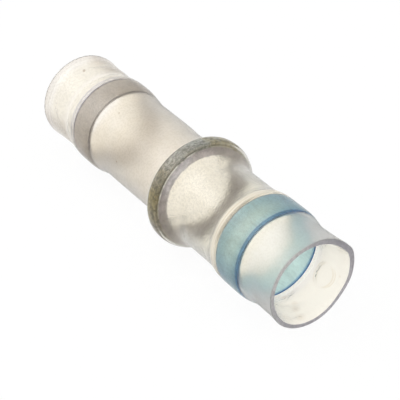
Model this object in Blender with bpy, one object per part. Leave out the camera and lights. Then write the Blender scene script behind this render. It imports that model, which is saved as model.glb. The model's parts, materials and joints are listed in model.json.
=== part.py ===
"""Solder seal wire connector, in metres, +Z up.

A heat-shrink sleeve lies along X. It is drawn down over three loose rings: a narrow solder ring
near its middle, a clear sealing ring towards -X and a blue one towards +X. Its weight is on the
-X side of the solder ring, so it comes to rest on the bulge over that ring and on its -X mouth.
The origin is on the ground, under the middle of the sleeve.
"""

import math

import bmesh
import bpy
from mathutils import Vector

MM = 0.001

# Sleeve, where it touches no ring
SLEEVE_LENGTH = 27.9 * MM
BORE_RADIUS = 2.66 * MM
SLEEVE_WALL = 0.40 * MM
SPAN_RISE = 0.08 * MM  # the short spans shrank this much less than the long one

# Mouth towards -X, left flared by the cut
FLARE_RISE = 0.38 * MM
FLARE_LENGTH = 2.5 * MM

# Mouth towards +X, set a little out of round
MOUTH_OVAL = 0.10 * MM
MOUTH_OVAL_ANGLE = math.radians(37)  # its long axis, from +Y towards +Z
MOUTH_LOBE = 0.05 * MM
MOUTH_LOBE_ANGLE = math.radians(20)  # the first of its three blunt corners
MOUTH_SET_LENGTH = 3.0 * MM

# Sealing rings: two short lengths of hot-melt tube, each inset from its own mouth
SEAL_STAND = 0.29 * MM  # how far their outside stands out past the bore
SEAL_THICKNESS = 0.50 * MM
SEAL_EDGE = 0.08 * MM
CLEAR_SEAL_WIDTH = 2.0 * MM
CLEAR_SEAL_INSET = 4.05 * MM
BLUE_SEAL_WIDTH = 2.5 * MM
BLUE_SEAL_INSET = 3.40 * MM

# Solder ring, off the middle towards the blue end
SOLDER_WIDTH = 0.80 * MM
SOLDER_STAND = 1.03 * MM
SOLDER_THICKNESS = 1.00 * MM
SOLDER_EDGE = 0.22 * MM
SOLDER_OFFSET = 1.70 * MM

# How the sleeve sits on the rings
SEAT_CLEARANCE = 0.04 * MM
SEAL_DRAPE = 1.2 * MM  # it comes down from a sealing ring over this length
STEEP_DRAPE = 0.75 * MM  # and from the solder ring over this one towards -X
LONG_DRAPE = 1.45 * MM  # and this one towards +X
DRAPE_REACH = 0.60 * MM  # its bends start this far from their corners
CREST_REACH = 0.22 * MM
SHOULDER_REACH = 0.45 * MM

SEGMENTS = 48
DRAPE_STEPS = 2
CREST_STEPS = 4
EDGE_STEPS = 2

# Colour, roughness and metallic of each piece
SLEEVE_FINISH = ((0.87, 0.84, 0.77, 1.0), 0.42, 0.0)
CLEAR_SEAL_FINISH = ((0.62, 0.59, 0.56, 1.0), 0.45, 0.0)
BLUE_SEAL_FINISH = ((0.22, 0.52, 0.58, 1.0), 0.40, 0.0)
SOLDER_FINISH = ((0.42, 0.42, 0.40, 1.0), 0.38, 1.0)


def outside(inside_radius):
    """The sleeve's outer radius there: it keeps its area of section however far it shrinks."""
    area = (BORE_RADIUS + SLEEVE_WALL) ** 2 - BORE_RADIUS**2
    return math.sqrt(inside_radius**2 + area)


def rounded(corners):
    """The path through (x, radius, reach, steps) corners, bent smoothly from reach before to after."""
    path = []
    last = len(corners) - 1
    for index, (x, radius, reach, steps) in enumerate(corners):
        corner = Vector((x, radius))
        if reach == 0 or index in (0, last):
            path.append(corner)
            continue
        before = Vector(corners[index - 1][:2]) - corner
        after = Vector(corners[index + 1][:2]) - corner
        reach = min(reach, before.length / 2, after.length / 2)
        start = corner + before.normalized() * reach
        end = corner + after.normalized() * reach
        for step in range(steps + 1):
            part = step / steps
            path.append(start.lerp(corner, part).lerp(corner.lerp(end, part), part))
    return path


def deduplicated(path):
    """The closed path without points that lie on the one before."""
    least = 0.001 * MM
    return [point for point, before in zip(path, path[-1:] + path[:-1]) if (point - before).length > least]


def turned(path):
    """A bmesh of the closed (x, radius) path turned about the X axis."""
    mesh = bmesh.new()
    verts = [mesh.verts.new((x, 0, -radius)) for x, radius in deduplicated(path)]
    edges = [mesh.edges.new(pair) for pair in zip(verts, verts[1:] + verts[:1])]
    bmesh.ops.spin(
        mesh,
        geom=verts + edges,
        axis=(1, 0, 0),
        cent=(0, 0, 0),
        angle=2 * math.pi,
        steps=SEGMENTS,
        use_merge=True,
    )
    bmesh.ops.recalc_face_normals(mesh, faces=mesh.faces)
    return mesh


def finished(name, finish):
    """A Principled material of the given colour, roughness and metallic value."""
    colour, roughness, metallic = finish
    material = bpy.data.materials.new(name)
    material.use_nodes = True
    shader = material.node_tree.nodes["Principled BSDF"]
    shader.inputs["Base Color"].default_value = colour
    shader.inputs["Roughness"].default_value = roughness
    shader.inputs["Metallic"].default_value = metallic
    material.diffuse_color = colour
    return material


def resting(path):
    """An empty on the sleeve's axis, raised and pitched as the sleeve of that outline lies."""
    mouth = path[0]
    pitch = max(math.atan2(point.y - mouth.y, point.x - mouth.x) for point in path[1:])
    holder = bpy.data.objects.new("rest", None)
    holder.rotation_euler.y = -pitch
    holder.location.z = mouth.y * math.cos(pitch) - mouth.x * math.sin(pitch)
    bpy.context.scene.collection.objects.link(holder)
    return holder


def placed(name, mesh, finish, x, holder):
    """The mesh as an object on the holder's axis, at x along it."""
    data = bpy.data.meshes.new(name)
    mesh.to_mesh(data)
    mesh.free()
    data.materials.append(finished(name, finish))
    data.shade_smooth()
    data.set_sharp_from_angle(angle=math.radians(35))
    piece = bpy.data.objects.new(name, data)
    piece.location.x = x
    piece.parent = holder
    bpy.context.scene.collection.objects.link(piece)


def ring_mesh(width, outer, thickness, edge):
    """A plain ring with its four edges rounded, towards +X from its origin."""
    inner = outer - thickness
    corners = [
        (width / 2, outer, 0, 1),
        (0, outer, edge, EDGE_STEPS),
        (0, inner, edge, EDGE_STEPS),
        (width, inner, edge, EDGE_STEPS),
        (width, outer, edge, EDGE_STEPS),
        (width / 2, outer, 0, 1),
    ]
    return turned(rounded(corners)[:-1])


def sleeve_path(clear_start, solder_start, blue_start):
    """The sleeve's closed outline: its outside from -X to +X, then its bore back."""
    mouth = SLEEVE_LENGTH / 2
    span = BORE_RADIUS + SPAN_RISE
    seat = BORE_RADIUS + SEAL_STAND + SEAT_CLEARANCE
    crest = BORE_RADIUS + SOLDER_STAND + SEAT_CLEARANCE
    clear_end = clear_start + CLEAR_SEAL_WIDTH
    solder_end = solder_start + SOLDER_WIDTH
    blue_end = blue_start + BLUE_SEAL_WIDTH
    drape_bend = (DRAPE_REACH, DRAPE_STEPS)
    crest_bend = (CREST_REACH, CREST_STEPS)
    shoulder_bend = (SHOULDER_REACH, CREST_STEPS)
    line = [
        (-mouth, BORE_RADIUS + FLARE_RISE, *drape_bend),
        (-mouth + FLARE_LENGTH, span, *drape_bend),
        (clear_start - SEAT_CLEARANCE - SEAL_DRAPE, span, *drape_bend),
        (clear_start - SEAT_CLEARANCE, seat, *drape_bend),
        (clear_end + SEAT_CLEARANCE, seat, *drape_bend),
        (clear_end + SEAT_CLEARANCE + SEAL_DRAPE, BORE_RADIUS, *drape_bend),
        (solder_start - SEAT_CLEARANCE - STEEP_DRAPE, BORE_RADIUS, *crest_bend),
        (solder_start - SEAT_CLEARANCE, crest, *crest_bend),
        (solder_end + SEAT_CLEARANCE, crest, *shoulder_bend),
        (solder_end + SEAT_CLEARANCE + LONG_DRAPE, span, *shoulder_bend),
        (blue_start - SEAT_CLEARANCE - SEAL_DRAPE, span, *drape_bend),
        (blue_start - SEAT_CLEARANCE, seat, *drape_bend),
        (blue_end + SEAT_CLEARANCE, seat, *drape_bend),
        (blue_end + SEAT_CLEARANCE + SEAL_DRAPE, span, *drape_bend),
        (mouth, BORE_RADIUS, *drape_bend),
    ]
    outer = [(x, outside(radius), *bend) for x, radius, *bend in line]
    return rounded(outer) + rounded(line)[::-1]


def set_mouth(mesh):
    """Moves the wall in and out near the +X mouth, so that the mouth is a blunt oval."""
    for vert in mesh.verts:
        x, y, z = vert.co
        part = max(0.0, (x - SLEEVE_LENGTH / 2) / MOUTH_SET_LENGTH + 1)
        fade = part * part * (3 - 2 * part)
        angle = math.atan2(z, y)
        shift = MOUTH_OVAL * math.cos(2 * (angle - MOUTH_OVAL_ANGLE))
        shift += MOUTH_LOBE * math.cos(3 * (angle - MOUTH_LOBE_ANGLE))
        vert.co += fade * shift * Vector((0, math.cos(angle), math.sin(angle)))


def build():
    clear_start = -SLEEVE_LENGTH / 2 + CLEAR_SEAL_INSET
    blue_start = SLEEVE_LENGTH / 2 - BLUE_SEAL_INSET - BLUE_SEAL_WIDTH
    solder_start = SOLDER_OFFSET - SOLDER_WIDTH / 2
    outline = sleeve_path(clear_start, solder_start, blue_start)
    holder = resting(outline)

    sleeve = turned(outline)
    set_mouth(sleeve)
    placed("sleeve", sleeve, SLEEVE_FINISH, 0, holder)

    seal_radius = BORE_RADIUS + SEAL_STAND
    clear_seal = ring_mesh(CLEAR_SEAL_WIDTH, seal_radius, SEAL_THICKNESS, SEAL_EDGE)
    placed("clear_seal_ring", clear_seal, CLEAR_SEAL_FINISH, clear_start, holder)
    blue_seal = ring_mesh(BLUE_SEAL_WIDTH, seal_radius, SEAL_THICKNESS, SEAL_EDGE)
    placed("blue_seal_ring", blue_seal, BLUE_SEAL_FINISH, blue_start, holder)

    solder_radius = BORE_RADIUS + SOLDER_STAND
    solder = ring_mesh(SOLDER_WIDTH, solder_radius, SOLDER_THICKNESS, SOLDER_EDGE)
    placed("solder_ring", solder, SOLDER_FINISH, solder_start, holder)


for leftover in list(bpy.data.objects):
    bpy.data.objects.remove(leftover, do_unlink=True)
build()
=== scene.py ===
"""Looks of the solder seal wire connector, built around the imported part.

Four pieces stand for the four CAD nodes: a frosted heat-shrink sleeve, a band of solder, and a clear
and a blue band of hot melt. Unless said otherwise, lengths are in mm, x is along the part's own axis
from the middle of the sleeve, and angles are in degrees round that axis, from +Y towards +Z.
"""

import json
import math

import bpy
import numpy as np
from mathutils import Matrix, Vector


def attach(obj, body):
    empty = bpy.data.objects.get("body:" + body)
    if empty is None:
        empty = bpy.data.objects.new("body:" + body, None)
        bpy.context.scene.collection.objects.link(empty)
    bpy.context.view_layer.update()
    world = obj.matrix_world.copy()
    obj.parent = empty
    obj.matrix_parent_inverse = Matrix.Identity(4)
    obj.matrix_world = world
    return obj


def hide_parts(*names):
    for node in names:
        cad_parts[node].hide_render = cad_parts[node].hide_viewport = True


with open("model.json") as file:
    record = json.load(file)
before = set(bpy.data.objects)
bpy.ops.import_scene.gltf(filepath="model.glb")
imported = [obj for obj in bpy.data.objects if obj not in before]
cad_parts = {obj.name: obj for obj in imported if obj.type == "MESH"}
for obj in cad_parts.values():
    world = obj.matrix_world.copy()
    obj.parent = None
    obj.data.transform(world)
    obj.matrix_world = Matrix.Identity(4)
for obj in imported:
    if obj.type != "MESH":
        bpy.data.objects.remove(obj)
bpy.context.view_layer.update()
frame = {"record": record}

MM = 0.001

# Sizes, as in the solids
HALF_LENGTH = 13.95
BORE = 2.66
WALL = 0.40
SPAN_RISE = 0.08
FLARE_RISE = 0.38
FLARE_LENGTH = 2.5
MOUTH_SET_LENGTH = 3.0
CLEAR_START = -9.90
CLEAR_WIDTH = 2.0
CLEAR_END = CLEAR_START + CLEAR_WIDTH
BLUE_START = 8.05
BLUE_WIDTH = 2.5
BLUE_END = BLUE_START + BLUE_WIDTH
SEAL_OUTER = 2.95
SOLDER_START = 1.30
SOLDER_WIDTH = 0.80
SOLDER_END = SOLDER_START + SOLDER_WIDTH
SOLDER_MIDDLE = SOLDER_START + SOLDER_WIDTH / 2
SOLDER_OUTER = 3.69
SOLDER_THICKNESS = 1.00
SEAT_CLEARANCE = 0.04

# The lengths over which the wall comes down from its seats
SEAL_DRAPE = 1.2
SHORT_DRAPE = 0.95
BLUE_DRAPE = 0.85
STEEP_DRAPE = 0.75
LONG_DRAPE = 1.24
SEAT_INSET = 0.05  # two of the seats stop this much inside the edge of their ring

# How far from their corners its bends start
SOFT_BEND = 0.60
CREST_BEND = 0.22
SHOULDER_BEND = 0.35
FOOT_BEND = 0.65
BLUE_FOOT_BEND = 0.45
BLUE_EDGE_BEND = 0.40

# How else the wall differs from the solids
WAIST_DROP = 0.05  # it is drawn in this much more before the solder and before the +X mouth
WAIST_INSET = 0.70  # how far the second waist lies inside that mouth
END_RISE = 0.01  # how much wider it stays between that waist and the blue ring
CREST_DROP = 0.06  # it is this much lower over the solder
CREST_LAG = 0.10  # and gets to its crest this much later
CREST_THINNING = 0.13  # what it lost there, where it was stretched most
CUT_BEVEL = 0.03  # how much the cut took off the outer edges of the mouths
FAR_CHAMFER = 0.22  # and off the inner edge of the -X one
FAR_SLANT = 0.05  # how far that cut leans, and towards which angle
FAR_SLANT_ANGLE = 130

# Shape of the two mouths
MOUTH_WAVES = [(2, 37, 0.10), (3, 20, 0.05)]  # how many round the +X mouth, the angle of one and its height
MOUTH_CORNER = 22
MOUTH_SWELLS = [  # angle, spread and height, round the +X mouth
    (MOUTH_CORNER, 15, 0.12),
    (MOUTH_CORNER - 32, 26, 0.15),
    (MOUTH_CORNER - 85, 28, 0.10),
]
MOUTH_THINNING = 0.11  # what is gone of the wall's inside there, except round this angle
MOUTH_THICK_ANGLE = MOUTH_CORNER + 12
MOUTH_THICK_SPREAD = 50
FAR_PINCHES = [(42, 35, -0.11), (217, 35, -0.11)]  # the same as the swells, round the -X mouth

# Marks pressed into the wall
DIMPLE_PLACE = (12.2, -30)  # x and angle
DIMPLE_RADIUS = 0.8
DIMPLE_DEPTH = 0.055
DIMPLE_EDGE = (0.85, 1.15)  # how many radii out it starts to fade and is gone
CREASES = [  # place, size along and around, turn and height outwards
    ((11.3, -77), (0.30, 0.55), 25, -0.05),
    ((11.9, -84), (0.22, 0.60), -15, 0.045),
    ((12.6, -90), (0.25, 0.45), 35, -0.045),
    ((13.3, -97), (0.22, 0.60), 10, -0.05),
    ((12.9, 20), (0.80, 0.14), 12, 0.06),
    ((13.5, 34), (0.50, 0.20), -5, -0.03),
    ((12.6, 4), (0.60, 0.25), 20, 0.03),
    ((-13.2, 150), (0.40, 1.1), 30, -0.07),
    ((-12.6, 164), (0.30, 0.9), -25, 0.05),
    ((-12.4, 118), (0.40, 0.9), -20, 0.03),
    ((-12.8, 84), (0.35, 0.8), 15, -0.05),
    ((-4.3, 130), (1.2, 1.0), 0, 0.02),
    ((-11.6, 45), (0.8, 1.8), 0, 0.06),
    ((-7.9, 42), (0.7, 1.6), 0, -0.09),
    ((-1.8, 42), (0.8, 1.6), 0, -0.07),
]

# Rings
BEDDING = 0.01  # how far a ring stands into the wall that it is wetted to, so that no air shows between
MELT_THICKNESS = 0.25
MELT_EDGE = 0.05
MELT_INNER_EDGE = 0.12
BLUE_SHORT = 0.25  # how much later than its seat the blue ring starts
SOLDER_OVERRUN = 0.03  # how much later than its seat the solder ends
SOLDER_FILL = 0.40  # how far it fills the bulge on its -X side, and how high it stands there
SOLDER_FILL_HEIGHT = 0.50
SOLDER_FACE_EDGE = 0.40
SOLDER_INNER_EDGE = 0.25
SOLDER_FILL_EDGE = 0.10
SOLDER_CREST_EDGE = 0.12

# Fineness of the meshes
AROUND = 180  # facets round the sleeve
ALONG = 0.13  # from one ring of points to the next
BEND_STEPS = 10
RING_BEND_STEPS = 6
SHARP_ANGLE = 40  # an edge that turns by more than this is shaded sharp
ANGLES = np.arange(AROUND) * 2 * math.pi / AROUND - math.pi / 2  # in radians


def own_axes():
    """The matrix from the part's own axes, in metres, to the row frame, read from its two end faces."""
    mounts = {m["name"]: m for m in frame["record"]["mounts"]}
    near, far = mounts["blue_end_face"], mounts["clear_end_face"]
    x, _, z = [(a + b) / 2 for a, b in zip(near["pos_m"], far["pos_m"])]
    pitch = math.atan2(near["axis"][2], near["axis"][0])
    return Matrix.Translation((x, 0, z)) @ Matrix.Rotation(-pitch, 4, "Y")


REST = own_axes()


# Shapes


def outside(inside):
    """The sleeve's outer radius over that inner one: it keeps its area of section."""
    return math.sqrt(inside**2 + (BORE + WALL) ** 2 - BORE**2)


def rounded(corners, steps):
    """The (x, radius) path through (x, radius, reach) corners, bent smoothly at each."""
    path = []
    last = len(corners) - 1
    for index, (x, radius, reach) in enumerate(corners):
        corner = Vector((x, radius))
        if reach == 0 or index in (0, last):
            path.append(corner)
            continue
        before = Vector(corners[index - 1][:2]) - corner
        after = Vector(corners[index + 1][:2]) - corner
        reach = min(reach, before.length / 2, after.length / 2)
        start = corner + before.normalized() * reach
        end = corner + after.normalized() * reach
        for step in range(steps + 1):
            part = step / steps
            path.append(start.lerp(corner, part).lerp(corner.lerp(end, part), part))
    return np.array(path)


def even(path):
    """The path with points at an even spacing, its ends kept."""
    run = np.concatenate([[0], np.cumsum(np.linalg.norm(np.diff(path, axis=0), axis=1))])
    count = max(2, round(run[-1] / ALONG) + 1)
    at = np.linspace(0, run[-1], count)
    return np.stack([np.interp(at, run, path[:, 0]), np.interp(at, run, path[:, 1])], 1)


def sleeve_line(radius_of, crest_thinning=0.0):
    """The wall's line from the -X mouth to the +X mouth: its inside or, with outside(), its outside."""
    span = BORE + SPAN_RISE
    waist = BORE - WAIST_DROP
    seat = SEAL_OUTER + SEAT_CLEARANCE
    crest = SOLDER_OUTER + SEAT_CLEARANCE + crest_thinning - CREST_DROP
    corners = [
        (-HALF_LENGTH, BORE + FLARE_RISE, SOFT_BEND),
        (-HALF_LENGTH + FLARE_LENGTH, span, SOFT_BEND),
        (CLEAR_START - SEAT_CLEARANCE - SEAL_DRAPE, span, SOFT_BEND),
        (CLEAR_START - SEAT_CLEARANCE, seat, SOFT_BEND),
        (CLEAR_END - SEAT_INSET, seat, SOFT_BEND),
        (CLEAR_END + SHORT_DRAPE, BORE, SOFT_BEND),
        (SOLDER_START - SEAT_CLEARANCE - STEEP_DRAPE, waist, CREST_BEND),
        (SOLDER_START - SEAT_CLEARANCE + CREST_LAG, crest, CREST_BEND),
        (SOLDER_END + SEAT_CLEARANCE, crest, SHOULDER_BEND),
        (SOLDER_END + SEAT_CLEARANCE + LONG_DRAPE, span, FOOT_BEND),
        (BLUE_START - BLUE_DRAPE, span, BLUE_FOOT_BEND),
        (BLUE_START + SEAT_INSET, seat, BLUE_EDGE_BEND),
        (BLUE_END, seat, SOFT_BEND),
        (BLUE_END + SHORT_DRAPE, BORE + END_RISE, SOFT_BEND),
        (HALF_LENGTH - WAIST_INSET, waist, SOFT_BEND),
        (HALF_LENGTH, BORE, SOFT_BEND),
    ]
    return rounded([(x, radius_of(radius), reach) for x, radius, reach in corners], BEND_STEPS)


def eased(part):
    """A smooth step, 0 up to part = 0 and 1 from part = 1 on."""
    part = np.clip(part, 0, 1)
    return part * part * (3 - 2 * part)


def near_mouth(x):
    """0 up to the last stretch before the +X mouth and 1 at it."""
    return eased((x - HALF_LENGTH) / MOUTH_SET_LENGTH + 1)


def far_mouth(x):
    """0 up to the flare of the -X mouth and 1 at it."""
    return eased(1 - (x + HALF_LENGTH) / FLARE_LENGTH)


def angle_from(middle, angle):
    """How far the angle, in radians, is from the middle, in degrees, the short way round."""
    return np.mod(angle - math.radians(middle) + math.pi, 2 * math.pi) - math.pi


def beside(angle, middle, spread):
    """1 at the middle, falling off over the spread. The angle is in radians."""
    return np.exp(-((angle_from(middle, angle) / math.radians(spread)) ** 2))


def mouth_shift(x, angle):
    """How far the wall stands out of round near the two mouths."""
    near, far = 0, 0
    for count, start, height in MOUTH_WAVES:
        near = near + height * np.cos(count * (angle - math.radians(start)))
    for middle, spread, height in MOUTH_SWELLS:
        near = near + height * beside(angle, middle, spread)
    for middle, spread, height in FAR_PINCHES:
        far = far + height * beside(angle, middle, spread)
    return near_mouth(x) * near + far_mouth(x) * far


def mouth_thinning(x, angle):
    """How much of the wall's inside is gone near the +X mouth."""
    return near_mouth(x) * MOUTH_THINNING * (1 - beside(angle, MOUTH_THICK_ANGLE, MOUTH_THICK_SPREAD))


def sizes_away(x, angle, place, sizes, turn=0.0):
    """How far the wall's points are from the place, where 1 is an oval of those sizes round it."""
    along_axis = x - place[0]
    around_axis = angle_from(place[1], angle) * BORE
    c, s = math.cos(math.radians(turn)), math.sin(math.radians(turn))
    return np.hypot(
        (along_axis * c + around_axis * s) / sizes[0],
        (around_axis * c - along_axis * s) / sizes[1],
    )


def wall_marks(x, angle):
    """The small dents and creases pressed into the wall, outwards."""
    full, gone = DIMPLE_EDGE
    away = sizes_away(x, angle, DIMPLE_PLACE, (DIMPLE_RADIUS, DIMPLE_RADIUS))
    shift = -DIMPLE_DEPTH * eased((gone - away) / (gone - full))
    for place, sizes, turn, height in CREASES:
        shift = shift + height * np.exp(-(sizes_away(x, angle, place, sizes, turn) ** 2))
    return shift


def turned(name, path, shift=0.0, slide=0.0):
    """A mesh object of the closed (x, radius) path turned about the part's own axis, with its points
    shifted outwards and slid along."""
    x = np.repeat(path[:, :1], AROUND, 1) + slide
    radius = np.repeat(path[:, 1:], AROUND, 1) + shift
    own = np.stack([x, radius * np.cos(ANGLES), radius * np.sin(ANGLES)], -1).reshape(-1, 3)
    points = own * MM @ np.array(REST.to_3x3()).T + np.array(REST.translation)
    faces = []
    rows = len(path)
    for row in range(rows):
        here, there = row * AROUND, (row + 1) % rows * AROUND
        for k in range(AROUND):
            after = (k + 1) % AROUND
            faces.append((here + k, here + after, there + after, there + k))
    mesh = bpy.data.meshes.new(name)
    mesh.from_pydata(points.tolist(), [], faces)
    mesh.attributes.new("own_mm", "FLOAT_VECTOR", "POINT").data.foreach_set("vector", own.ravel())
    mesh.shade_smooth()
    mesh.set_sharp_from_angle(angle=math.radians(SHARP_ANGLE))
    piece = bpy.data.objects.new(name, mesh)
    bpy.context.scene.collection.objects.link(piece)
    return piece


def stood_for(piece, cad_node, material):
    """The piece rides on the part, in place of that CAD node."""
    piece.data.materials.append(material)
    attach(piece, "root")
    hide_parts(cad_node)


# Nodes


def node(tree, kind, inputs=None, **settings):
    """A new node with those settings, its inputs linked to sockets or set to values."""
    made = tree.nodes.new(kind)
    for key, value in settings.items():
        setattr(made, key, value)
    for key, value in (inputs or {}).items():
        if isinstance(value, bpy.types.NodeSocket):
            tree.links.new(value, made.inputs[key])
        else:
            made.inputs[key].default_value = value
    return made


def calculated(tree, operation, *values):
    """The result of a Math node."""
    return node(tree, "ShaderNodeMath", dict(enumerate(values)), operation=operation).outputs[0]


def product(tree, first, *others):
    """The product of two or more numbers."""
    for other in others:
        first = calculated(tree, "MULTIPLY", first, other)
    return first


def rescaled(tree, value, start, end, low=0.0, high=1.0):
    """Low where the value is at the start, high where it is at the end, and even in between."""
    inputs = {"Value": value, "From Min": start, "From Max": end, "To Min": low, "To Max": high}
    return node(tree, "ShaderNodeMapRange", inputs).outputs["Result"]


def between(tree, share, low, high):
    """From low to high as the share goes from 0 to 1."""
    return rescaled(tree, share, 0.0, 1.0, low, high)


def banded(tree, value, a, b, c, d):
    """0 where the value is up to a, 1 from b to c and 0 from d on."""
    return product(tree, rescaled(tree, value, a, b), rescaled(tree, value, d, c))


def of_vectors(tree, operation, *vectors):
    """The number that a Vector Math node makes of those vectors."""
    made = node(tree, "ShaderNodeVectorMath", dict(enumerate(vectors)), operation=operation)
    return made.outputs["Value"]


def times(tree, place, stretch):
    """The place with each of its coordinates multiplied."""
    made = node(tree, "ShaderNodeVectorMath", {0: place, 1: stretch}, operation="MULTIPLY")
    return made.outputs["Vector"]


def rgba(colour):
    """The colour with its alpha. A single number is a grey, and a socket stays as it is."""
    if isinstance(colour, bpy.types.NodeSocket):
        return colour
    if isinstance(colour, float):
        return (colour, colour, colour, 1)
    return (*colour, 1)


def mixed(tree, share, a, b, blend="MIX"):
    """Colour a changed to colour b, or by it with another blend, as far as the share says."""
    inputs = {"Factor": share, 6: rgba(a), 7: rgba(b)}
    return node(tree, "ShaderNodeMix", inputs, data_type="RGBA", blend_type=blend).outputs[2]


def shaded(tree, share, colour, tint):
    """The colour multiplied by the tint, as far as the share says."""
    return mixed(tree, share, colour, tint, "MULTIPLY")


def ramp(tree, value, stops):
    """A colour ramp through the (position, colour) stops."""
    made = node(tree, "ShaderNodeValToRGB", {"Fac": value})
    elements = made.color_ramp.elements
    while len(elements) > 1:
        elements.remove(elements[-1])
    elements[0].position, elements[0].color = stops[0][0], rgba(stops[0][1])
    for position, colour in stops[1:]:
        elements.new(position).color = rgba(colour)
    return made.outputs["Color"]


def noise(tree, place, scale, detail, stretch=None):
    """A noise from 0 to 1, with about that many waves to a millimetre."""
    if stretch:
        place = times(tree, place, stretch)
    inputs = {"Vector": place, "Scale": scale, "Detail": detail}
    return node(tree, "ShaderNodeTexNoise", inputs).outputs["Fac"]


def uneven(tree, colour, value, stops):
    """The colour multiplied by the ramp of that value, mostly a noise."""
    return shaded(tree, 1.0, colour, ramp(tree, value, stops))


def in_mm(tree):
    """The place on the part, along its own axes."""
    return node(tree, "ShaderNodeAttribute", attribute_name="own_mm").outputs["Vector"]


def axial(tree, place):
    """The place's x."""
    return node(tree, "ShaderNodeSeparateXYZ", {0: place}).outputs["X"]


def along(tree, place, start, end):
    """0 at x = start and 1 at x = end."""
    return rescaled(tree, axial(tree, place), start, end)


def radial(tree, place):
    """How far the place is from the axis."""
    return of_vectors(tree, "LENGTH", times(tree, place, (0, 1, 1)))


def off_axis(tree, place, start, end):
    """0 at the radius start and 1 at the radius end."""
    return rescaled(tree, radial(tree, place), start, end)


def towards(tree, place, angle):
    """How far the place is from the axis in the direction of that angle."""
    turn = math.radians(angle)
    return of_vectors(tree, "DOT_PRODUCT", place, (0, math.cos(turn), math.sin(turn)))


def around(tree, place, angle):
    """0 to 1 round the axis: a half at that angle, and more beyond it."""
    y = towards(tree, place, angle)
    z = towards(tree, place, angle + 90)
    return rescaled(tree, calculated(tree, "ARCTAN2", z, y), -math.pi, math.pi)


def away_from(tree, place, x, angle, radius):
    """How far the place is from the one with that x, angle and radius."""
    turn = math.radians(angle)
    return of_vectors(tree, "DISTANCE", place, (x, radius * math.cos(turn), radius * math.sin(turn)))


def spot(tree, place, x, angle, radius, size, core):
    """0 outside a spot of that size round there, and 1 inside that share of it."""
    return rescaled(tree, away_from(tree, place, x, angle, radius), size, size * core)


def bumped(tree, height, depth):
    """The normal over a bump. Its depth is in metres."""
    made = node(tree, "ShaderNodeBump", {"Height": height, "Strength": 1.0, "Distance": depth})
    return made.outputs["Normal"]


def blank(name):
    """A material without nodes, and its tree."""
    material = bpy.data.materials.new(name)
    material.use_nodes = True
    material.node_tree.nodes.clear()
    return material, material.node_tree


def surfaced(material, shader):
    """The material with that shader on its surface."""
    node(material.node_tree, "ShaderNodeOutputMaterial", {"Surface": shader})
    return material


def principled(material, inputs):
    """The material with a Principled shader with these inputs."""
    shader = node(material.node_tree, "ShaderNodeBsdfPrincipled", inputs)
    return surfaced(material, shader.outputs[0])


# Materials
#
# Levels are distances from the axis in the direction of an angle, and depths of bumps are in metres.
# A noise is its scale, its detail and its stretch, and a ramp is its stops.

NEAR_SIDE = 131  # the angle of the side that lies up and to -Y, which the photo shows

# Wall of the sleeve: pale cream from the solder towards +X, and a little warmer towards -X
WALL_IOR = 1.33
WARM_SPAN = (3.0, 0.5)
CLEAR_TINT = (1.0, 0.98, 0.905)
WARM_TINT = (1.0, 0.955, 0.885)

# Its unevenness, of which less is left beyond the blue ring and none on the far half there: painted light
# that makes that half lighter, with a cream tint
FROST = (7.5, 0.0)
FROST_STOPS = [(0.40, (0.88, 0.88, 0.87)), (0.56, 1.0)]
CLOUD = (0.8, 3.0)
CLOUD_STOPS = [(0.30, (0.95, 0.94, 0.91)), (0.62, 1.0)]
END_SPAN = (10.6, 11.6)
END_TINT = (1.0, 0.995, 0.985)
END_SMOOTHING = 0.45
END_FROST = 0.97
FAR_HALF_LEVELS = (0.0, -1.0)
FAR_END_LIGHT_TINT = (1.0, 0.96, 0.86)

# Where it is rougher or glossier, and how much
HAZY_SPAN = (-8.0, -7.0, 0.0, 1.2)
HAZE = 1.35
END_HAZE_SPAN = (10.6, 11.4)
END_HAZE = 1.45
CREST_SPAN = (1.10, 1.25, 2.25, 2.45)
CREST_GLOSS = 0.45

# Painted shade at its -X end: darker on its flare, on its two sides, along its rim and in a second line
# beside the rim
FLARE_SPAN = (-13.2, -13.08, -11.6, -10.9)
FLARE_SHADE_TINT = (0.965, 0.955, 0.91)
SIDE_SPAN = (-10.0, -10.6)
SIDE_LEVELS = (-0.4, 0.6, 1.6, 2.3)
SIDE_SHADE_TINT = (0.71, 0.69, 0.68)
# Painted shade: a darker band along the -X rim
RIM_SPAN = (-13.74, -13.80)
RIM_SHADE_TINT = (0.86, 0.85, 0.85)
SECOND_RIM_SPAN = (-13.56, -13.50, -13.46, -13.40)
SECOND_RIM_ANGLE = 170
SECOND_RIM_LEVELS = (2.5, 3.1)
SECOND_RIM_SHADE_TINT = (0.80, 0.78, 0.77)

# Where it whitened over a ring's end: from and to, its tint and how clear it stayed
STRETCHED = [
    (BLUE_START - 0.44, BLUE_START + BLUE_SHORT + 0.02, (0.96, 0.90, 0.77), 0.55),
    (CLEAR_START - 1.3, CLEAR_START - 0.02, (0.93, 0.88, 0.78), 0.75),
]
STRETCH_RISE = 0.30
STRETCH_FALL = 0.10
# Painted shade: a dark line in the wall along the -X edge of each ring
BLUE_EDGE_SHADE = (BLUE_START - 0.05, BLUE_START - 0.01, BLUE_START + 0.01, BLUE_START + 0.05)
BLUE_EDGE_SHADE_TINT = (0.80, 0.70, 0.56)
CLEAR_EDGE_SHADE = (CLEAR_START - 0.20, CLEAR_START - 0.10, CLEAR_START, CLEAR_START + 0.04)
CLEAR_EDGE_SHADE_TINT = (0.62, 0.61, 0.67)

# Painted shade: a darker line round the dimple, which shows on its two ends along the part
DIMPLE_WALL = 2.75  # how far the dimple is from the axis
DIMPLE_LINE = (0.74, 0.80, 0.82, 0.88)
DIMPLE_ENDS = (0.25, 0.65)
DIMPLE_SHADE_TINT = (0.82, 0.76, 0.66)

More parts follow.
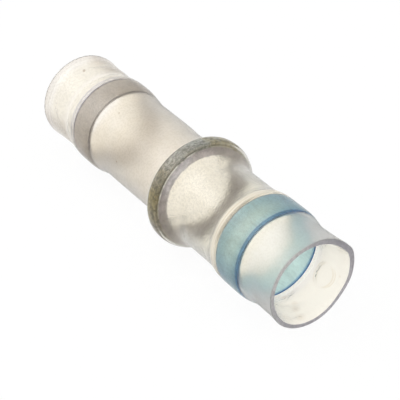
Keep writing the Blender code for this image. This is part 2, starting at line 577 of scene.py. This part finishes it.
# Spots on it: x, angle, radius and size
SPECK_TINT = (0.45, 0.36, 0.27)
SPECK_CORE = 0.5
SPECKS = [
    (-12.4, 103.5, 3.25, 0.14),
    (-12.3, 105.0, 3.25, 0.10),
    (-9.5, 112.0, 3.38, 0.12),
    (-6.3, 118.0, 3.06, 0.07),
    (-4.1, 172.0, 3.06, 0.08),
]
# Painted shade: darker patches, mostly in the wall's creases near both mouths
CREASE_SHADE_TINT = (0.80, 0.72, 0.60)
CREASE_SHADES = [
    (10.8, -94.0, 2.75, 0.35),
    (11.2, -89.0, 2.75, 0.32),
    (12.1, -86.0, 2.75, 0.30),
    (12.6, -92.0, 2.75, 0.40),
    (13.4, -97.0, 2.75, 0.42),
    (13.2, 22.0, 2.85, 0.42),
    (13.6, 24.0, 2.85, 0.40),
    (13.4, -18.0, 2.80, 0.12),
    (-12.9, 80.0, 3.35, 0.80),
]

# Each face of the wall: roughness, depth of its grain, clearness and share of the unevenness
FROSTED_FACE = (0.25, 0.000012, 0.985, 1.0)
BORE_FACE = (0.14, 0.000003, 1.0, 0.0)


def frosted(tree, place, tint, frost, share, beyond, far_end_light):
    """The tint under the fine and the broad unevenness, which is left off the far half of the +X end as
    painted light.
    """
    fine = ramp(tree, frost, FROST_STOPS)
    broad = ramp(tree, noise(tree, place, *CLOUD), CLOUD_STOPS)
    smoother = between(tree, beyond, 0.0, END_SMOOTHING)
    for unevenness, smooth in ((fine, END_FROST), (broad, 1.0)):
        unevenness = mixed(tree, smoother, unevenness, smooth)
        unevenness = mixed(tree, far_end_light, unevenness, 1.0)
        tint = shaded(tree, share, tint, unevenness)
    return tint


def painted_end_shade(tree, place, tint):
    """The tint with painted shade at the -X end: on its flare, on its sides and in a second line beside its
    rim.
    """
    level = towards(tree, place, NEAR_SIDE)
    side_shade_share = product(tree, banded(tree, level, *SIDE_LEVELS), along(tree, place, *SIDE_SPAN))
    low = rescaled(tree, towards(tree, place, SECOND_RIM_ANGLE), *SECOND_RIM_LEVELS)
    x = axial(tree, place)
    # Painted shade: the flare, the two sides and a line beside the rim are darker
    tint = shaded(tree, banded(tree, x, *FLARE_SPAN), tint, FLARE_SHADE_TINT)
    tint = shaded(tree, side_shade_share, tint, SIDE_SHADE_TINT)
    return shaded(tree, product(tree, low, banded(tree, x, *SECOND_RIM_SPAN)), tint, SECOND_RIM_SHADE_TINT)


def dimple_outline_shade(tree, place):
    """1 on the line of painted shade round the dimple, on its two ends along the part."""
    x, angle = DIMPLE_PLACE
    full, gone = DIMPLE_ENDS
    before = along(tree, place, x - full, x - gone)
    after = along(tree, place, x + full, x + gone)
    line = banded(tree, away_from(tree, place, x, angle, DIMPLE_WALL), *DIMPLE_LINE)
    return product(tree, line, calculated(tree, "ADD", before, after))


def wall_material(name, roughness, grain_depth, clearness, frosting):
    """One face of the sleeve's translucent wall."""
    material, tree = blank(name)
    place = in_mm(tree)
    x = axial(tree, place)
    frost = noise(tree, place, *FROST)
    beyond = rescaled(tree, x, *END_SPAN)
    far_half = rescaled(tree, towards(tree, place, NEAR_SIDE), *FAR_HALF_LEVELS)
    far_end_light = product(tree, beyond, far_half)

    tint = mixed(tree, rescaled(tree, x, *WARM_SPAN), CLEAR_TINT, WARM_TINT)
    tint = mixed(tree, beyond, tint, END_TINT)
    tint = frosted(tree, place, tint, frost, frosting, beyond, far_end_light)
    # Painted light: the far half of the +X end is lighter and cream
    tint = mixed(tree, far_end_light, tint, FAR_END_LIGHT_TINT)
    tint = painted_end_shade(tree, place, tint)
    for speck in SPECKS:
        tint = mixed(tree, spot(tree, place, *speck, SPECK_CORE), tint, SPECK_TINT)
    for start, end, band_tint, band_clearness in STRETCHED:
        band = banded(tree, x, start, start + STRETCH_RISE, end - STRETCH_FALL, end)
        tint = mixed(tree, band, tint, band_tint)
        clearness = between(tree, band, clearness, band_clearness)
    # Painted shade lines along the rings' -X edges
    tint = mixed(tree, banded(tree, x, *BLUE_EDGE_SHADE), tint, BLUE_EDGE_SHADE_TINT)
    tint = mixed(tree, banded(tree, x, *CLEAR_EDGE_SHADE), tint, CLEAR_EDGE_SHADE_TINT)
    # Painted shade round the dimple
    tint = shaded(tree, dimple_outline_shade(tree, place), tint, DIMPLE_SHADE_TINT)
    # Painted shade along the -X rim
    tint = shaded(tree, rescaled(tree, x, *RIM_SPAN), tint, RIM_SHADE_TINT)
    # Painted shade in the creases
    for crease_shade in CREASE_SHADES:
        tint = mixed(tree, spot(tree, place, *crease_shade, 0.0), tint, CREASE_SHADE_TINT)

    changes = [
        (banded(tree, x, *HAZY_SPAN), HAZE),
        (rescaled(tree, x, *END_HAZE_SPAN), END_HAZE),
        (banded(tree, x, *CREST_SPAN), CREST_GLOSS),
    ]
    for share, change in changes:
        roughness = product(tree, roughness, between(tree, share, 1.0, change))
    return principled(
        material,
        {
            "Base Color": tint,
            "Roughness": roughness,
            "IOR": WALL_IOR,
            "Transmission Weight": clearness,
            "Normal": bumped(tree, frost, grain_depth),
        },
    )


# Cut faces of the wall: purple-grey at the +X mouth, with painted light making it lighter towards one side,
# and clear at the -X one
CUT_TINT = (0.44, 0.42, 0.46)
PAINTED_LIGHT_CUT_TINT = (0.74, 0.71, 0.70)
PAINTED_LIGHT_CUT_ANGLE = 150
PAINTED_LIGHT_CUT_LEVELS = (-0.5, 3.2)
FAR_CUT_SPAN = (1.0, -1.0)
FAR_CUT_TINT = (0.98, 0.94, 0.92)
CUT_CLEARNESS = 0.5
FAR_CUT_CLEARNESS = 0.97
CUT_ROUGHNESS = 0.45
CUT_GRAIN = (5.0, 3.0)
CUT_STOPS = [(0.40, (0.80, 0.79, 0.80)), (0.60, 1.0)]
CUT_DEPTH = 0.00002


def cut_material():
    """The cut faces of the wall, at both mouths."""
    material, tree = blank("cut_wall")
    place = in_mm(tree)
    grain = noise(tree, place, *CUT_GRAIN)
    # Painted light: the cut face is lighter towards one side
    lit = rescaled(tree, towards(tree, place, PAINTED_LIGHT_CUT_ANGLE), *PAINTED_LIGHT_CUT_LEVELS)
    far_end = along(tree, place, *FAR_CUT_SPAN)
    tint = uneven(tree, mixed(tree, lit, CUT_TINT, PAINTED_LIGHT_CUT_TINT), grain, CUT_STOPS)
    return principled(
        material,
        {
            "Base Color": mixed(tree, far_end, tint, FAR_CUT_TINT),
            "Roughness": CUT_ROUGHNESS,
            "IOR": WALL_IOR,
            "Transmission Weight": between(tree, far_end, CUT_CLEARNESS, FAR_CUT_CLEARNESS),
            "Normal": bumped(tree, grain, CUT_DEPTH),
        },
    )


# Hot melt
MELT_IOR = 1.2
MELT_ROUGHNESS = 0.5
MELT_CLEARNESS = 0.97
MELT_WETTING = (0.12, 0.02)  # how far below its outside it has its inner tint, and its stops' colour
# Painted shade on the two sides of a ring, away from NEAR_SIDE
MELT_SIDE_LEVELS = (2.6, 1.0)
# Painted light: the far half of a ring is mixed to a lighter tint
MELT_FAR_LEVELS = (-0.5, -2.0)
MELT_FAR_SHARE = 0.6
MELT_END_RISE = (-0.04, 0.02)  # where its end's tint starts and is full along, and from which depth
MELT_END_EDGE = 0.06
MELT_CLOUD = (1.6, 4.0, (0.5, 1.0, 1.0))
MELT_GRAIN = (7.0, 3.0, (0.35, 1.0, 1.0))
MELT_STREAKS = (0.42, 0.58)  # where the noises are darkest, and where they leave the colour as it is
MELT_DEPTH = 0.00001
CLEAR_MELT = {
    # Painted shade darkens the first stops, at the -X edge
    "stops": [
        (0.0, (0.20, 0.18, 0.25)),
        (0.05, (0.34, 0.32, 0.38)),
        (0.11, (0.69, 0.655, 0.62)),
        (1.0, (0.67, 0.635, 0.60)),
    ],
    "inner_tint": (0.67, 0.635, 0.60),
    "end_shade_tint": (0.06, 0.04, 0.08),
    "end_reach": 0.0,
    "end_depth": 0.10,
    "streaks": 0.12,
    "painted_side_shade": (1.0, 1.0, 1.0),
    "painted_far_light": (0.84, 0.80, 0.75),
}
BLUE_MELT = {
    # Painted shade darkens the first and the last stops, towards both edges; the middle ones are the ring's
    # own blue
    "stops": [
        (0.0, (0.30, 0.38, 0.50)),
        (0.05, (0.38, 0.60, 0.77)),
        (0.22, (0.47, 0.72, 0.88)),
        (0.5, (0.69, 0.92, 1.0)),
        (0.7, (0.70, 0.93, 1.0)),
        (0.86, (0.52, 0.78, 0.94)),
        (1.0, (0.42, 0.68, 0.92)),
    ],
    "inner_tint": (0.90, 1.0, 0.96),
    "end_shade_tint": (0.07, 0.20, 0.50),
    "end_reach": 0.22,
    "end_depth": 0.12,
    "streaks": 0.15,
    "painted_side_shade": (0.76, 0.83, 0.94),
    "painted_far_light": (0.80, 0.97, 0.94),
}
BLUE_ABSORPTION = (0.22, 0.75, 0.98)
BLUE_DENSITY = 600  # to the metre


def melt_material(
    name, start, width, stops, inner_tint, end_shade_tint, end_reach, end_depth, streaks, painted_side_shade, painted_far_light
):
    """Translucent hot-melt adhesive. The stops colour its outside from end to end, where it is wetted
    to the wall, with painted shade at its edges; the inner tint colours its inside, and the end
    shade tint paints shade on its +X edge, with that reach and depth. The painted side shade darkens
    its two sides, and the painted far light lightens its far half."""
    material, tree = blank(name)
    place = in_mm(tree)
    deep, wet = MELT_WETTING
    wetted = off_axis(tree, place, SEAL_OUTER - deep, SEAL_OUTER - wet)
    colour = mixed(tree, wetted, inner_tint, ramp(tree, along(tree, place, start, start + width), stops))

    level = towards(tree, place, NEAR_SIDE)
    # Painted shade on its two sides
    side_shade_share = rescaled(tree, calculated(tree, "ABSOLUTE", level), *MELT_SIDE_LEVELS)
    colour = shaded(tree, side_shade_share, colour, painted_side_shade)
    # Painted light on its far half
    colour = mixed(tree, rescaled(tree, level, *MELT_FAR_LEVELS, 0.0, MELT_FAR_SHARE), colour, painted_far_light)

    # Painted shade on its +X edge
    edge = start + width - end_reach
    rim = SEAL_OUTER - end_depth
    end = product(
        tree,
        along(tree, place, edge + MELT_END_RISE[0], edge + MELT_END_RISE[1]),
        off_axis(tree, place, rim, rim + MELT_END_EDGE),
    )
    colour = mixed(tree, end, colour, end_shade_tint)

    streak_stops = list(zip(MELT_STREAKS, (1.0 - streaks, 1.0)))
    grain = noise(tree, place, *MELT_GRAIN)
    colour = uneven(tree, colour, noise(tree, place, *MELT_CLOUD), streak_stops)
    colour = uneven(tree, colour, grain, streak_stops)
    return principled(
        material,
        {
            "Base Color": colour,
            "Roughness": MELT_ROUGHNESS,
            "IOR": MELT_IOR,
            "Transmission Weight": MELT_CLEARNESS,
            "Normal": bumped(tree, grain, MELT_DEPTH),
        },
    )


def absorb(material, colour, density):
    """Light is lost on its way through the material as well, so that long ways are deeper in colour."""
    tree = material.node_tree
    volume = node(tree, "ShaderNodeVolumeAbsorption", {"Color": rgba(colour), "Density": density})
    tree.links.new(volume.outputs[0], tree.nodes["Material Output"].inputs["Volume"])


# Solder: its stops go round the axis, with a half at NEAR_SIDE, and wander by a noise
SOLDER_ROUGHNESS = 0.5
SOLDER_METAL = 0.6
SOLDER_GRAIN = (6.0, 4.0, (2.0, 0.8, 0.8))
SOLDER_DEPTH = 0.00006
WANDER = (1.1, 3.0, (0.5, 1.0, 1.0))
WANDER_REACH = 0.16

# Its crest, under flux
OLIVE = (0.46, 0.40, 0.22)
CREST_STOPS = [
    (0.20, (0.36, 0.32, 0.27)),
    (0.27, OLIVE),
    (0.34, (0.47, 0.44, 0.30)),
    (0.38, (0.50, 0.53, 0.55)),
    (0.43, (0.43, 0.44, 0.44)),
    (0.48, (0.42, 0.41, 0.38)),
    (0.56, (0.38, 0.35, 0.25)),
    (0.60, OLIVE),
    (0.65, (0.46, 0.42, 0.29)),
    (0.70, (0.44, 0.40, 0.34)),
]
# Painted shade: the crest is darker towards its +X side
CREST_SHADE_SPAN = (SOLDER_START - 0.1, SOLDER_END)
CREST_SHADE = (0.66, 0.64, 0.58)
CREST_MOTTLE = (4.5, 4.0, (1.6, 0.9, 0.9))
CREST_MOTTLE_STOPS = [(0.40, 0.62), (0.58, 1.14)]
PITS = (8.0, 2.0, (0.5, 1.0, 1.0))
PIT_STOPS = [(0.42, 0.82), (0.56, 1.06)]

# Its +X face: purple-grey, with painted light where it faces NEAR_SIDE and painted shade towards its sides
# and outwards
FACE_SPAN = (SOLDER_MIDDLE, SOLDER_MIDDLE + 0.1)
FACE_EDGE = (3.52, 3.46)
BROWN = (0.40, 0.36, 0.35)
PURPLE = (0.50, 0.45, 0.48)
LILAC = (0.73, 0.70, 0.79)
# Painted light and shade: lilac where the face turns to NEAR_SIDE, browner round towards its sides
FACE_STOPS = [
    (0.24, BROWN),
    (0.36, PURPLE),
    (0.42, (0.58, 0.53, 0.57)),
    (0.46, LILAC),
    (0.52, LILAC),
    (0.56, (0.57, 0.53, 0.58)),
    (0.60, PURPLE),
    (0.72, BROWN),
]
FACE_SHADE_SPAN = (3.10, 3.48)
FACE_SHADE = (0.84, 0.81, 0.82)
FACE_MOTTLE = (3.0, 2.0, (1.6, 0.9, 0.9))
FACE_MOTTLE_STOPS = [(0.38, 0.84), (0.60, 1.10)]

# Painted highlight: the bright broken line between them. Painted shade: the groove outside it and the side
# that isn't seen
PAINTED_GLINT_RADII = (3.46, 3.49, 3.56, 3.60)
PAINTED_GLINT_BREAKS = (1.2, 3.0, (0.2, 1.0, 1.0))
PAINTED_GLINT_BREAKS_STOPS = [(0.42, 0.0), (0.50, 1.0)]
PAINTED_GLINT_STOPS = [(0.40, 0.25), (0.44, 1.0), (0.58, 1.0), (0.62, 0.25)]
PAINTED_GLINT_TINT = (0.96, 0.95, 0.97)
GROOVE_RADII = (3.58, 3.61, 3.66, 3.72)
GROOVE_SHADE_TINT = (0.72, 0.70, 0.66)
HIDDEN_LEVELS = (-1.2, -3.2)
HIDDEN_SHADE = 0.76


def crest_colour(tree, place, turn):
    """The solder's mottled crest, with fine pits, darker towards its +X side as painted shade."""
    colour = ramp(tree, turn, CREST_STOPS)
    colour = shaded(tree, along(tree, place, *CREST_SHADE_SPAN), colour, CREST_SHADE)
    colour = uneven(tree, colour, noise(tree, place, *CREST_MOTTLE), CREST_MOTTLE_STOPS)
    return uneven(tree, colour, noise(tree, place, *PITS), PIT_STOPS)


def face_colour(tree, place, turn):
    """The solder's smoother +X face, darker outwards as painted shade."""
    colour = ramp(tree, turn, FACE_STOPS)
    colour = uneven(tree, colour, noise(tree, place, *FACE_MOTTLE), FACE_MOTTLE_STOPS)
    return shaded(tree, off_axis(tree, place, *FACE_SHADE_SPAN), colour, FACE_SHADE)


def solder_material():
    """Dull solder under a film of flux: olive and grey on the crest, purple-grey on its +X face, with a
    painted highlight line and painted shade.
    """
    material, tree = blank("dull_solder")
    place = in_mm(tree)
    radius = radial(tree, place)
    wander = noise(tree, place, *WANDER)
    turn = calculated(tree, "MULTIPLY_ADD", wander, WANDER_REACH, around(tree, place, NEAR_SIDE))
    turn = calculated(tree, "SUBTRACT", turn, WANDER_REACH / 2)

    beyond = along(tree, place, *FACE_SPAN)
    face = product(tree, rescaled(tree, radius, *FACE_EDGE), beyond)
    colour = mixed(tree, face, crest_colour(tree, place, turn), face_colour(tree, place, turn))

    # Painted highlight: a bright broken line along the crest's +X edge
    painted_glint = product(tree, banded(tree, radius, *PAINTED_GLINT_RADII), beyond)
    painted_glint = uneven(tree, painted_glint, noise(tree, place, *PAINTED_GLINT_BREAKS), PAINTED_GLINT_BREAKS_STOPS)
    painted_glint = uneven(tree, painted_glint, turn, PAINTED_GLINT_STOPS)
    colour = mixed(tree, painted_glint, colour, PAINTED_GLINT_TINT)

    # Painted shade in the groove
    groove_shade = product(tree, banded(tree, radius, *GROOVE_RADII), beyond)
    colour = shaded(tree, groove_shade, colour, GROOVE_SHADE_TINT)
    # Painted shade on the far side
    far_side_shade = rescaled(tree, towards(tree, place, NEAR_SIDE), *HIDDEN_LEVELS)
    colour = shaded(tree, far_side_shade, colour, HIDDEN_SHADE)
    return principled(
        material,
        {
            "Base Color": colour,
            "Roughness": SOLDER_ROUGHNESS,
            "Metallic": SOLDER_METAL,
            "Normal": bumped(tree, noise(tree, place, *SOLDER_GRAIN), SOLDER_DEPTH),
        },
    )


# Sleeve and rings


def sleeve_outlines():
    """The wall's outside from the -X mouth to the +X one, with its bevelled ends, and its inside."""
    inner = even(sleeve_line(lambda radius: radius, CREST_THINNING))
    chamfered = inner[inner[:, 0] > -HALF_LENGTH + FAR_CHAMFER]
    inner = np.concatenate([[inner[0] + (0, FAR_CHAMFER)], chamfered])
    outer = even(sleeve_line(outside))
    inwards, down = np.array([CUT_BEVEL, 0.0]), np.array([0.0, CUT_BEVEL])
    ends = [outer[0] - down], [outer[-1] - down]
    outer[0] += inwards
    outer[-1] -= inwards
    return np.concatenate([ends[0], outer, ends[1]]), inner


def add_sleeve():
    """The frosted sleeve. Its slots are the outside, the bore and the cut faces."""
    outer, inner = sleeve_outlines()
    outline = np.concatenate([outer, inner[::-1]])
    x = outline[:, :1]
    inside = (np.arange(len(outline)) >= len(outer))[:, None]
    out_of_round = mouth_shift(x, ANGLES) + wall_marks(x, ANGLES)
    out_of_round += inside * mouth_thinning(x, ANGLES)
    slant = -FAR_SLANT * far_mouth(x) * np.cos(ANGLES - math.radians(FAR_SLANT_ANGLE))
    sleeve = turned("heat_shrink_sleeve", outline, out_of_round, slant)
    stood_for(sleeve, "sleeve", wall_material("frosted_wall", *FROSTED_FACE))
    sleeve.data.materials.append(wall_material("bore_wall", *BORE_FACE))
    sleeve.data.materials.append(cut_material())
    rows = np.repeat(np.arange(len(outline)), AROUND)
    slots = np.where(rows < len(outer) - 1, 0, 1)
    slots[rows == len(outer) - 1] = 2
    slots[rows == len(outline) - 1] = 2
    sleeve.data.polygons.foreach_set("material_index", slots.astype(np.int32))


def add_solder():
    """The solder, which fills the bulge's -X side."""
    outer = SOLDER_OUTER + SEAT_CLEARANCE + CREST_THINNING - CREST_DROP + BEDDING
    inner = SOLDER_OUTER - SOLDER_THICKNESS
    start = SOLDER_START + CREST_LAG
    corners = [
        (SOLDER_MIDDLE, outer, 0),
        (SOLDER_END + SOLDER_OVERRUN, outer, SOLDER_FACE_EDGE),
        (SOLDER_END + SOLDER_OVERRUN, inner, SOLDER_INNER_EDGE),
        (SOLDER_START, inner, SOLDER_INNER_EDGE),
        (start - SOLDER_FILL, inner + SOLDER_FILL_HEIGHT, SOLDER_FILL_EDGE),
        (start - SEAT_CLEARANCE, outer, SOLDER_CREST_EDGE),
        (SOLDER_MIDDLE, outer, 0),
    ]
    solder = turned("solder_band", rounded(corners, RING_BEND_STEPS)[:-1])
    stood_for(solder, "solder_ring", solder_material())


def melt_path(start, width):
    """The closed outline of a ring of hot melt, wetted to the wall."""
    outer = SEAL_OUTER + SEAT_CLEARANCE + BEDDING
    inner = outer - MELT_THICKNESS
    end = start + width
    middle = start + width / 2
    corners = [
        (middle, outer, 0),
        (end, outer, MELT_EDGE),
        (end, inner, MELT_INNER_EDGE),
        (start, inner, MELT_INNER_EDGE),
        (start, outer, MELT_EDGE),
        (middle, outer, 0),
    ]
    return rounded(corners, RING_BEND_STEPS)[:-1]


def add_melt_rings():
    """The clear and the blue sealing ring."""
    clear = turned("clear_melt_band", melt_path(CLEAR_START, CLEAR_WIDTH))
    clear_look = melt_material("clear_melt", CLEAR_START, CLEAR_WIDTH, **CLEAR_MELT)
    stood_for(clear, "clear_seal_ring", clear_look)

    start, width = BLUE_START + BLUE_SHORT, BLUE_WIDTH - BLUE_SHORT
    blue = turned("blue_melt_band", melt_path(start, width))
    blue_look = melt_material("blue_melt", start, width, **BLUE_MELT)
    absorb(blue_look, BLUE_ABSORPTION, BLUE_DENSITY)
    stood_for(blue, "blue_seal_ring", blue_look)


# Floor, light and camera

FLOOR_GREY = 0.85
FLOOR_WHITENESS = 0.95  # how much of the floor that is seen is plain white. The rest keeps the shadow
FLOOR_HALF = 0.5  # in metres, as are the lamps' places and sizes
WORLD_STRENGTH = 0.6
LAMP_SIZE = 0.40
LAMPS = [  # name, place and power
    ("key", (-0.12, -0.18, 0.30), 1.1),
    ("fill", (0.25, 0.05, 0.25), 0.5),
]

# The photo's viewpoint, in the part's own axes
CAMERA_RIGHT = (0.548, 0.8365, 0.0)
CAMERA_UP = (-0.4538, 0.2973, 0.84)
CAMERA_BACK = (0.7027, -0.4604, 0.5425)
CAMERA_PLACE = (67.247, -42.957, 49.99)
CAMERA_LENS = 126
SENSOR_WIDTH = 36
CLIP_START = 0.005  # in metres


def seen_mix(tree, lit, shown):
    """The shown shader for what the camera sees, in gloss and through the sleeve too, else the lit one."""
    path = node(tree, "ShaderNodeLightPath").outputs
    seen = calculated(tree, "MAXIMUM", path["Is Camera Ray"], path["Is Glossy Ray"])
    seen = calculated(tree, "MAXIMUM", seen, path["Is Transmission Ray"])
    return node(tree, "ShaderNodeMixShader", {"Fac": seen, 1: lit, 2: shown}).outputs[0]


def add_floor():
    """The floor, which is seen as almost plain white."""
    material, tree = blank("pale_floor")
    diffuse = node(tree, "ShaderNodeBsdfDiffuse", {"Color": rgba(FLOOR_GREY)}).outputs[0]
    white = node(tree, "ShaderNodeEmission", {"Color": rgba(1.0), "Strength": 1.0}).outputs[0]
    soft = node(tree, "ShaderNodeMixShader", {"Fac": FLOOR_WHITENESS, 1: diffuse, 2: white}).outputs[0]
    mesh = bpy.data.meshes.new("floor")
    half = FLOOR_HALF
    corners = [(-half, -half, 0), (half, -half, 0), (half, half, 0), (-half, half, 0)]
    mesh.from_pydata(corners, [], [(0, 1, 2, 3)])
    mesh.materials.append(surfaced(material, seen_mix(tree, diffuse, soft)))
    floor = bpy.data.objects.new("floor", mesh)
    bpy.context.scene.collection.objects.link(floor)


def add_world():
    """The world, which lights the part dimly and is seen as plain white."""
    world = bpy.data.worlds.new("studio")
    world.use_nodes = True
    tree = world.node_tree
    tree.nodes.clear()
    dim = node(tree, "ShaderNodeBackground", {"Color": rgba(1.0), "Strength": WORLD_STRENGTH}).outputs[0]
    white = node(tree, "ShaderNodeBackground", {"Color": rgba(1.0), "Strength": 1.0}).outputs[0]
    node(tree, "ShaderNodeOutputWorld", {"Surface": seen_mix(tree, dim, white)})
    bpy.context.scene.world = world


def add_lamp(name, place, power):
    """A soft square lamp that faces the part."""
    light = bpy.data.lights.new(name, "AREA")
    light.size = LAMP_SIZE
    light.energy = power
    lamp = bpy.data.objects.new(name, light)
    lamp.location = place
    lamp.rotation_mode = "QUATERNION"
    lamp.rotation_quaternion = (-Vector(place)).to_track_quat("-Z", "Y")
    bpy.context.scene.collection.objects.link(lamp)


def add_camera():
    """A camera at the photo's viewpoint."""
    turn = Matrix((CAMERA_RIGHT, CAMERA_UP, CAMERA_BACK)).transposed().to_4x4()
    data = bpy.data.cameras.new("camera")
    data.lens = CAMERA_LENS
    data.sensor_width = SENSOR_WIDTH
    data.clip_start = CLIP_START
    camera = bpy.data.objects.new("camera", data)
    camera.matrix_world = REST @ Matrix.Translation(Vector(CAMERA_PLACE) * MM) @ turn
    bpy.context.scene.collection.objects.link(camera)
    bpy.context.scene.camera = camera


add_sleeve()
add_solder()
add_melt_rings()
add_floor()
add_world()
for lamp in LAMPS:
    add_lamp(*lamp)
add_camera()

bpy.context.scene.view_settings.view_transform = "Standard"
